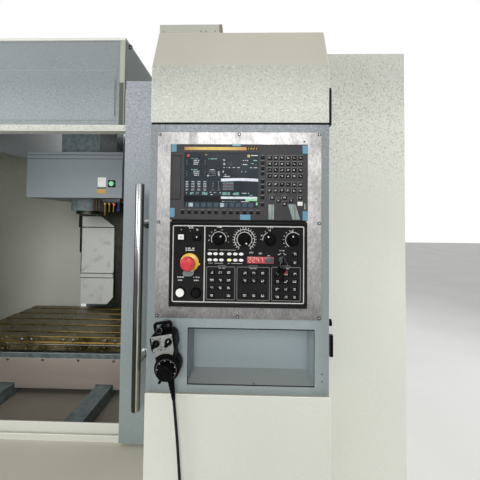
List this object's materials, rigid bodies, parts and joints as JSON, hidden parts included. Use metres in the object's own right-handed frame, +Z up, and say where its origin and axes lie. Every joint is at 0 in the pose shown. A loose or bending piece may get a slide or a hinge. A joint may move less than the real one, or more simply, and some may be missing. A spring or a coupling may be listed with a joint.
{
  "type": "cnc vertical machining centre",
  "caption": "Vertical machining centre with sliding doors, travelling table and head, and an operator station with screen, key panel and hanging handwheel pendant.",
  "frame": {"origin": "middle of the machine's footprint, on the floor", "axes": "+X to the operator's right, +Y from the operator's side to the back, +Z up"},
  "size_m": [2.6, 2.315, 2.47],
  "materials": {
    "cream": "speckled textured paint",
    "grey": "speckled textured paint",
    "castings": "painted",
    "steel": "brushed",
    "polished": "polished",
    "bezel": "fine texture",
    "panel_black": "satin film",
    "screen": "lit",
    "tape": "film",
    "rubber": "matt",
    "red": "gloss",
    "knob_black": "satin",
    "white": "gloss",
    "green": "lit",
    "brass": "worn",
    "window": "clear",
    "machined": "machined",
    "way_cover": "satin",
    "guard": "satin",
    "duct": "satin",
    "motor": "satin"
  },
  "bodies": {
    "frame": {"base_casting": "castings", "column_casting": "castings", "leveling_feet": "steel", "left_side_cover": "cream", "right_side_cover": "cream", "rear_cover": "cream", "front_wall": "cream", "upper_front_cover": "grey", "header_beam": "cream", "lower_front_cover": "cream", "chip_tray": "grey", "electrical_cabinet": "cream", "control_cabinet": "grey", "cabinet_hood": "cream", "hood_seal": "rubber", "cable_duct": "duct", "mounting_plate": "steel", "plate_screws": "steel", "display_unit": "bezel", "display_screen": "screen", "corner_tapes": "tape", "operator_panel": "panel_black", "servo_motors": "motor", "z_way_cover": "way_cover", "z_guard": "guard", "pendant_body": "knob_black", "pendant_cord": "rubber", "cord_gland": "knob_black"},
    "right_door": {"right_door": "grey", "right_door_handle": "polished", "right_door_window": "window"},
    "left_door": {"left_door": "grey", "left_door_handle": "polished", "left_door_window": "window"},
    "saddle": {"saddle": "castings"},
    "table": {"table": "machined"},
    "head": {"head_casting": "castings", "head_cover": "grey", "coolant_nozzles": "brass"},
    "spindle": {"spindle": "steel"},
    "z_screw": {"z_ball_screw": "steel"},
    "magazine": {"tool_carousel": "steel"},
    "side_door": {"side_door": "grey"},
    "electrical_door": {"electrical_door": "cream"},
    "main_switch": {"main_switch": "red"},
    "card_door": {"card_slot_door": "bezel"},
    "stop_button": {"stop_button": "red"},
    "mode_knob": {"mode_knob": "knob_black"},
    "feed_knob": {"feed_knob": "knob_black"},
    "rapid_knob": {"rapid_knob": "knob_black"},
    "speed_knob": {"speed_knob": "knob_black"},
    "key_switch": {"key_switch": "steel"},
    "power_on_button": {"power_on_button": "white"},
    "power_off_button": {"power_off_button": "knob_black"},
    "start_button": {"start_button": "white"},
    "hold_button": {"hold_button": "knob_black"},
    "head_button": {"head_button": "green"},
    "pendant_wheel": {"pendant_wheel": "knob_black"},
    "pendant_axis_knob": {"pendant_axis_knob": "knob_black"},
    "pendant_rate_knob": {"pendant_rate_knob": "knob_black"}
  },
  "joints": [
    {"name": "right_door_slide", "type": "slide", "parent": "frame", "child": "right_door", "axis": [1, 0, 0], "range_m": [-0.5315, 0]},
    {"name": "left_door_slide", "type": "slide", "parent": "frame", "child": "left_door", "axis": [1, 0, 0], "range_m": [0, 0.5315]},
    {"name": "y_axis", "type": "slide", "parent": "frame", "child": "saddle", "axis": [0, 1, 0], "range_m": [-0.25, 0.25]},
    {"name": "x_axis", "type": "slide", "parent": "saddle", "child": "table", "axis": [1, 0, 0], "range_m": [-0.425, 0.425]},
    {"name": "z_axis", "type": "slide", "parent": "frame", "child": "head", "axis": [0, 0, 1], "range_m": [-0.5, 0], "deforming": ["z_way_cover", "z_guard"]},
    {"name": "spindle_turn", "type": "hinge", "parent": "head", "child": "spindle", "pos_m": [-0.195, -0.194, 1.5], "axis": [0, 0, 1], "continuous": true},
    {"name": "z_screw_turn", "type": "hinge", "parent": "frame", "child": "z_screw", "pos_m": [-0.195, 0.303, 1.6], "axis": [0, 0, 1], "continuous": true},
    {"name": "magazine_turn", "type": "hinge", "parent": "frame", "child": "magazine", "pos_m": [-0.56, 0.579, 1.5], "axis": [1, 0, 0], "continuous": true},
    {"name": "side_door_hinge", "type": "hinge", "parent": "frame", "child": "side_door", "pos_m": [1.003, -0.955, 1.3], "axis": [0, 0, 1], "range_deg": [0, 80]},
    {"name": "electrical_door_hinge", "type": "hinge", "parent": "frame", "child": "electrical_door", "pos_m": [-0.65, 1.136, 1.15], "axis": [0, 0, 1], "range_deg": [0, 110]},
    {"name": "main_switch_turn", "type": "hinge", "parent": "frame", "child": "main_switch", "pos_m": [-0.665, 1.03, 1.5], "axis": [1, 0, 0], "range_deg": [0, 90]},
    {"name": "card_door_hinge", "type": "hinge", "parent": "frame", "child": "card_door", "pos_m": [0.5382, -1.0912, 1.5705], "axis": [0, 0, 1], "range_deg": [-100, 0]},
    {"name": "stop_button_press", "type": "slide", "parent": "frame", "child": "stop_button", "axis": [0, 1, 0], "range_m": [0, 0.006]},
    {"name": "mode_knob_turn", "type": "hinge", "parent": "frame", "child": "mode_knob", "pos_m": [0.6787, -1.095, 1.3945], "axis": [0, 1, 0], "range_deg": [-120, 120]},
    {"name": "feed_knob_turn", "type": "hinge", "parent": "frame", "child": "feed_knob", "pos_m": [0.7535, -1.095, 1.3945], "axis": [0, 1, 0], "range_deg": [-150, 150]},
    {"name": "rapid_knob_turn", "type": "hinge", "parent": "frame", "child": "rapid_knob", "pos_m": [0.8284, -1.095, 1.3945], "axis": [0, 1, 0], "range_deg": [-60, 60]},
    {"name": "speed_knob_turn", "type": "hinge", "parent": "frame", "child": "speed_knob", "pos_m": [0.8943, -1.095, 1.3945], "axis": [0, 1, 0], "range_deg": [-90, 90]},
    {"name": "key_switch_turn", "type": "hinge", "parent": "frame", "child": "key_switch", "pos_m": [0.8625, -1.095, 1.3375], "axis": [0, 1, 0], "range_deg": [0, 90]},
    {"name": "power_on_button_press", "type": "slide", "parent": "frame", "child": "power_on_button", "axis": [0, 1, 0], "range_m": [0, 0.003], "stiffness_N_per_m": 400},
    {"name": "power_off_button_press", "type": "slide", "parent": "frame", "child": "power_off_button", "axis": [0, 1, 0], "range_m": [0, 0.003], "stiffness_N_per_m": 400},
    {"name": "start_button_press", "type": "slide", "parent": "frame", "child": "start_button", "axis": [0, 1, 0], "range_m": [0, 0.003], "stiffness_N_per_m": 400},
    {"name": "hold_button_press", "type": "slide", "parent": "frame", "child": "hold_button", "axis": [0, 1, 0], "range_m": [0, 0.003], "stiffness_N_per_m": 400},
    {"name": "head_button_press", "type": "slide", "parent": "head", "child": "head_button", "axis": [0, 1, 0], "range_m": [0, 0.004], "stiffness_N_per_m": 400},
    {"name": "pendant_wheel_turn", "type": "hinge", "parent": "frame", "child": "pendant_wheel", "pos_m": [0.54594, -1.146, 1.04449], "axis": [0, 1, 0], "continuous": true},
    {"name": "pendant_axis_turn", "type": "hinge", "parent": "frame", "child": "pendant_axis_knob", "pos_m": [0.51713, -1.146, 1.11369], "axis": [0, 1, 0], "range_deg": [-75, 75]},
    {"name": "pendant_rate_turn", "type": "hinge", "parent": "frame", "child": "pendant_rate_knob", "pos_m": [0.55066, -1.146, 1.1193], "axis": [0, 1, 0], "range_deg": [-45, 45]}
  ],
  "couplings": [
    {"joint": "z_screw_turn", "follows": "z_axis", "rad_per_m": 392.7}
  ]
}
